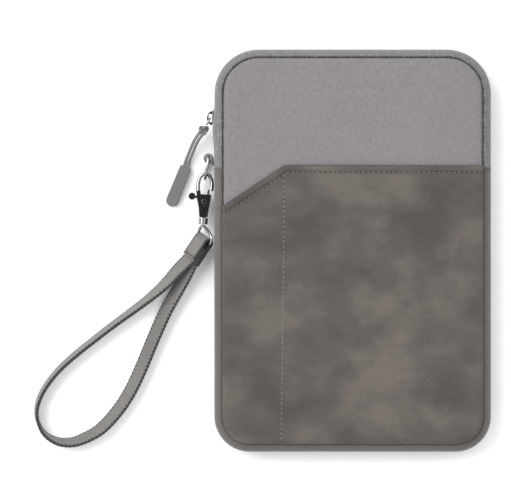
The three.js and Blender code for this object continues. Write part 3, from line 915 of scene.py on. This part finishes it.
for name, node, body, voxel, passes, material in (
    ("zip_slider", "slider_body", "slider", 0.16, 5, METAL),
    ("slider_arch", "slider_bridge", "slider", 0.14, 5, METAL),
    ("puller_ring", "pull_ring", "puller", 0.12, 6, METAL),
    ("d_ring", "side_ring", "ring", 0.14, 6, METAL),
    ("clasp_rivet", "gate_rivet", "clasp", 0.1, 3, METAL),
    ("clasp_spring", "gate_spring", "clasp", 0.1, 2, METAL),
    ("clasp_trigger", "clasp_gate", "gate", 0.13, 7, METAL),
    ("swivel_stem", "swivel_pin", "eye", 0.14, 4, METAL),
    ("strap_eye_wire", "strap_eye", "eye", 0.14, 6, METAL),
):
    finish_piece(rounded_copy(name, node, voxel, passes), body, material, "metal", node)


# The clasp's lengthwise frame starts a little short of the ring's far end, towards its hinge
joint_at = {joint["name"]: joint for joint in frame["record"]["behaviour"]["joints"]}
RING_HINGE = Vector(joint_at["ring_swing"]["pos_m"]) / MM
RING_END = Vector(joint_at["clasp_swing"]["pos_m"]) / MM
RING_BACK = 1.9
CLASP_ORIGIN = RING_END + (RING_HINGE - RING_END).normalized() * RING_BACK
CLASP_LEAN = math.radians(-3)
# Where the CAD hook is cut off, and the wire that takes its place
HOOK_FOOT = -8.9
HOOK_LINE = [
    (-3.75, -10.2), (-4.1, -6.5), (-4.0, -4), (-3.3, -1.2), (-1.9, 0.65), (0.1, 1.35), (1.9, 0.75),
    (3.1, -0.9), (3.8, -2.6), (4.1, -5), (3.95, -8.7),
]


def clasp_place(x, y):
    """A point of the clasp, from its own lengthwise frame."""
    c, s = math.cos(CLASP_LEAN), math.sin(CLASP_LEAN)
    return CLASP_ORIGIN + Vector((x * c - y * s, x * s + y * c, 0))


def make_clasp():
    """Flat body cheeks from the CAD shape, and a hook of round wire."""
    body = rounded_copy("clasp_cheeks", "clasp_body", 0.14, 5)
    cut = bmesh.new()
    cut.from_mesh(body.data)
    edge = clasp_place(0, HOOK_FOOT) * MM
    way = (clasp_place(0, 0) - clasp_place(0, -1)).normalized()
    found = bmesh.ops.bisect_plane(cut, geom=cut.verts[:] + cut.edges[:] + cut.faces[:],
                                   plane_co=edge, plane_no=way, clear_outer=True)
    rims = [e for e in found["geom_cut"] if isinstance(e, bmesh.types.BMEdge)]
    bmesh.ops.holes_fill(cut, edges=rims)
    cut.to_mesh(body.data)
    cut.free()
    # The clasp body takes the darker copy of the metal, as painted shade.
    finish_piece(body, "clasp", SHADED_METAL, "metal", "clasp_body")
    hook = smooth_path([clasp_place(x, y) for x, y in HOOK_LINE], 8)
    length = sum((b - a).length for a, b in zip(hook, hook[1:]))
    wire = tube("clasp_hook", hook, lambda s: 1.3 - 0.25 * math.sin(math.pi * s / length), 16)
    finish_piece(wire, "clasp", METAL, "metal")


make_clasp()
finish_piece(rounded_copy("ring_loop", "ring_tab", 0.22, 5), "case", EDGE_CLOTH, "edge_cloth", "ring_tab")


# Wrist strap

STRAP_WIDTH, STRAP_THICKNESS = 10.0, 2.0
SEWN_TILT = 45
BAR_CENTRE = Vector(joint_at["strap_swing"]["pos_m"]) / MM
BAR = Vector(joint_at["strap_swing"]["axis"]).normalized()
SEWN_ALONG = Vector((-0.55, -0.835, 0))
SEWN_ALONG = (SEWN_ALONG - BAR * SEWN_ALONG.dot(BAR)).normalized()
SEWN_UP = SEWN_ALONG.cross(BAR).normalized()
LAYER = STRAP_THICKNESS / 2 + 0.15
# Places of the band's two ends along the sewn part
SEWN_STOPS = (4.5, 8, 11.5)
# The loop's centre line and the lean of its outer face, in degrees
STRAP_LOOP = [
    (-104.3, -11.6, 7.3, 42), (-110.4, -18.4, 6.9, 36), (-116.7, -24.4, 6.4, 29), (-123.2, -29.8, 5.9, 23),
    (-130.3, -35.2, 5.6, 20), (-137.6, -40.5, 5.5, 18), (-145.8, -46.6, 5.4, 17), (-154.3, -53.2, 5.4, 16),
    (-163, -60.1, 5.4, 15), (-171.3, -67.2, 5.4, 14), (-177.5, -73.5, 5.35, 13), (-182.8, -80.4, 5.3, 12),
    (-186.8, -87.6, 5.3, 11), (-188.8, -94.8, 5.25, 8), (-188.2, -101.8, 5.2, 4), (-184.6, -108.8, 5.2, -5),
    (-179, -113, 5.25, -14), (-172, -114.8, 5.3, -23), (-163.5, -113.6, 5.3, -31),
    (-151.2, -107.2, 5.15, -38), (-140.9, -96.4, 4.95, -42), (-132.8, -84.1, 4.9, -44),
    (-125.8, -69.2, 4.9, -45), (-118.9, -52.6, 5, -45), (-111.8, -36.8, 5.3, -45), (-105.4, -25.2, 5.7, -45),
    (-100, -15.4, 6.2, -45),
]


def strap_stations():
    """The band's route: one sewn end, the loop, and the other sewn end."""
    def sewn(d, n, tilt):
        return (*(BAR_CENTRE + SEWN_ALONG * d + SEWN_UP * n), tilt)

    upper = [sewn(d, LAYER, SEWN_TILT) for d in SEWN_STOPS]
    lower = [sewn(d, -LAYER, -SEWN_TILT) for d in SEWN_STOPS[::-1]]
    return upper + STRAP_LOOP + lower


def strap_frames(per_span=10):
    """Places along the band, each with the band's length, width and face directions."""
    stations = strap_stations()
    centres = smooth_path([s[:3] for s in stations], per_span)
    out = []
    for i, centre in enumerate(centres):
        place = min(i / per_span, len(stations) - 1.0001)
        k = int(place)
        tilt = math.radians(stations[k][3] + (stations[k + 1][3] - stations[k][3]) * (place - k))
        along = (centres[min(i + 1, len(centres) - 1)] - centres[max(i - 1, 0)]).normalized()
        outward = Vector((along.y, -along.x, 0)).normalized()
        wide = outward * -math.sin(tilt) + Vector((0, 0, math.cos(tilt)))
        wide = (wide - along * wide.dot(along)).normalized()
        out.append((centre, along, wide, along.cross(wide).normalized()))
    return out


STRAP = strap_frames()


def band_section(half_width, half_thick):
    """A flat band with rolled edges and a stitched groove near each."""
    side = []
    profile = [
        (0.0, 0.88), (0.55, 0.9), (0.68, 0.93), (0.72, 0.62),
        (0.76, 0.95), (0.86, 1.04), (0.94, 0.9), (0.99, 0.5),
    ]
    for w, f in profile:
        side.append((w * half_width, f * half_thick))
    top = [(-w, f) for w, f in side[::-1]] + side[1:]
    return top + [(w, -f) for w, f in top[::-1]]


def make_strap():
    section = band_section(STRAP_WIDTH / 2, STRAP_THICKNESS / 2)
    rings = [[centre + wide * w + face * f for w, f in section] for centre, along, wide, face in STRAP]
    obj = recalc_normals(make_object("strap_band", *skin(rings)))
    return finish_piece(obj, "strap", BAND, "band", "wrist_strap")


make_strap()


def strap_stitches():
    """A row of stitches beside each edge, on both faces."""
    parts = []
    for edge in (-1, 1):
        for surface in (-1, 1):
            frames = STRAP[10:-10]
            path = [centre + wide * edge * 3.3 + face * surface * 0.72
                    for centre, along, wide, face in frames]
            travelled, target, i = 0.0, 1.0, 0
            while i < len(path) - 1:
                step = (path[i + 1] - path[i]).length
                while travelled + step >= target:
                    t = (target - travelled) / step
                    _, along, wide, face = frames[i]
                    place = path[i].lerp(path[i + 1], t)
                    parts.append(capsule(place, along, wide, face * surface, 1.15, (0.26, 0.3), 5, 6))
                    target += 2.6
                travelled += step
                i += 1
    obj = recalc_normals(make_object("strap_edge_stitches", *merge(parts)))
    return finish_piece(obj, "strap", PIPING, "thread")


strap_stitches()


def strap_ropes():
    """The overcast edges of the band: a cord along each, pinched at every stitch."""
    parts = []
    for edge in (-1, 1):
        reach = edge * (STRAP_WIDTH / 2 - 0.75)
        line = [centre + wide * reach for centre, along, wide, face in STRAP]
        dense = []
        for a, b in zip(line, line[1:]):
            steps = max(1, round((b - a).length / 0.5))
            dense += [a.lerp(b, k / steps) for k in range(steps)]
        rings = tube_rings(dense, lambda s: 0.84 + 0.3 * abs(math.sin(math.pi * s / 2.4)), 8)
        parts.append(skin(rings))
    obj = recalc_normals(make_object("strap_edge_ropes", *merge(parts)))
    return finish_piece(obj, "strap", BAND_EDGE_AND_FOLD_SHADE, "band")


strap_ropes()

WRAP_INNER = 2 * LAYER + 0.3
WRAP_HALF_THICKNESS = 0.45
WRAP_OUTER = WRAP_INNER + 2 * WRAP_HALF_THICKNESS
WRAP_LENGTH = 13.0
TAIL = 2.0


def fold_point(flat, across=0.0):
    """A point of the sewn end, from its place in the fold's plane and along the eye's bar."""
    return BAR_CENTRE + SEWN_ALONG * flat.x + SEWN_UP * flat.y + BAR * across


def folded_layer(name, route, half_width, half_thickness):
    """A band that follows a route in the plane across the eye's bar."""
    rings = []
    for i, point in enumerate(route):
        along = (route[min(i + 1, len(route) - 1)] - route[max(i - 1, 0)]).normalized()
        out = Vector((along.y, -along.x))
        rings.append([fold_point(point + out * f, w) for w, f in band_section(half_width, half_thickness)])
    return recalc_normals(make_object(name, *skin(rings)))


def make_wrap():
    """The layer that folds round the eye's bar, with rolled edges."""
    middle = WRAP_INNER + WRAP_HALF_THICKNESS
    distances = [WRAP_LENGTH - k * 1.5 for k in range(10)]
    route = [Vector((d, middle)) for d in distances]
    for k in range(1, 16):
        a = math.pi / 2 + math.pi * k / 16
        route.append(Vector((0.5 + math.cos(a) * middle, math.sin(a) * middle)))
    route += [Vector((d, -middle)) for d in distances[::-1]]
    route.append(Vector((WRAP_LENGTH + TAIL, -middle)))
    obj = folded_layer("strap_wrap", route, STRAP_WIDTH / 2, 0.5)
    finish_piece(obj, "strap", BAND, "band", "strap_end_wrap")
    ropes = []
    for edge in (-1, 1):
        line = smooth_path([fold_point(point, edge * (STRAP_WIDTH / 2 - 0.2)) for point in route], 4)
        ropes.append(skin(tube_rings(line, lambda s: 0.5 + 0.18 * abs(math.sin(math.pi * s / 2.0)), 8)))
    edges = recalc_normals(make_object("strap_wrap_ropes", *merge(ropes)))
    return finish_piece(edges, "strap", BAND_EDGE_AND_FOLD_SHADE, "band")


make_wrap()

PLY_RADIUS = 1.6
PLY_HALF_THICKNESS = 0.42
PLY_HALF_WIDTH = 4.6


def make_ply():
    """The inner layer of the fold, which joins the band's two ends round the eye's bar; it takes the dark
    edge colour as painted shade inside the fold.
    """
    upper = [Vector((4.2, LAYER)), Vector((2.6, 1.35)), Vector((1.2, 1.56))]
    turn = [math.pi / 2 + math.pi * k / 14 for k in range(15)]
    route = upper + [Vector((math.cos(a), math.sin(a))) * PLY_RADIUS for a in turn]
    route += [Vector((point.x, -point.y)) for point in upper[::-1]]
    obj = folded_layer("strap_inner_ply", route, PLY_HALF_WIDTH, PLY_HALF_THICKNESS)
    return finish_piece(obj, "strap", BAND_EDGE_AND_FOLD_SHADE, "band")


make_ply()


def cross_stitch():
    """Five stitches across each face of the sewn end."""
    parts = []
    for surface in (-1, 1):
        for w in (-3.4, -1.7, 0, 1.7, 3.4):
            place = fold_point(Vector((WRAP_LENGTH - 1.4, surface * (WRAP_OUTER + 0.15))), w)
            parts.append(capsule(place, BAR, SEWN_ALONG, SEWN_UP * surface, 0.75, (0.42, 0.3)))
    obj = recalc_normals(make_object("strap_cross_stitch", *merge(parts)))
    return finish_piece(obj, "strap", DARK_THREAD_AND_SHADE, "thread", "strap_stitch")


cross_stitch()


# Floor and light

def make_floor():
    size, level = 2500, -0.3
    corners = [(-size, -size, level), (size, -size, level), (size, size, level), (-size, size, level)]
    obj = make_object("floor", corners, [(0, 1, 2, 3)], False)
    surface = Surface("pale_floor", 0.9, specular=0.0)
    surface.tint(surface.noise(3, 1), [(0.0, grey(0.97)), (1.0, grey(0.98))])
    obj.data.materials.append(surface.material)


make_floor()


LIGHT_AIM = Vector((-0.04, 0, 0))
WORLD_STRENGTH = 1.25


def area_light(name, place, energy, size):
    data = bpy.data.lights.new(name, "AREA")
    data.energy = energy
    data.size = size
    light = bpy.data.objects.new(name, data)
    light.location = place
    aim = LIGHT_AIM - Vector(place)
    light.rotation_euler = aim.to_track_quat("-Z", "Y").to_euler()
    bpy.context.scene.collection.objects.link(light)


area_light("key", (-1.1, 0.7, 1.2), 30, 1.5)
area_light("fill", (1.1, 0.7, 1.3), 5, 1.8)


def make_world():
    """Dark at the horizon, bright from 30 degrees up, and dark straight above."""
    world = bpy.data.worlds.new("studio")
    world.use_nodes = True
    tree = world.node_tree
    place = tree.nodes.new("ShaderNodeTexCoord")
    split = tree.nodes.new("ShaderNodeSeparateXYZ")
    ramp = tree.nodes.new("ShaderNodeValToRGB")
    stops = ramp.color_ramp.elements
    stops[0].position = 0.0
    stops[0].color = grey(0.10)
    stops[1].position = 0.5
    stops[1].color = grey(1.0)
    for position, value in ((0.93, 1.0), (0.985, 0.05)):
        stops.new(position).color = grey(value)
    tree.links.new(place.outputs["Generated"], split.inputs["Vector"])
    tree.links.new(split.outputs["Z"], ramp.inputs["Fac"])
    tree.links.new(ramp.outputs["Color"], tree.nodes["Background"].inputs["Color"])
    tree.nodes["Background"].inputs["Strength"].default_value = WORLD_STRENGTH
    bpy.context.scene.world = world


make_world()
bpy.context.scene.view_settings.view_transform = "Standard"
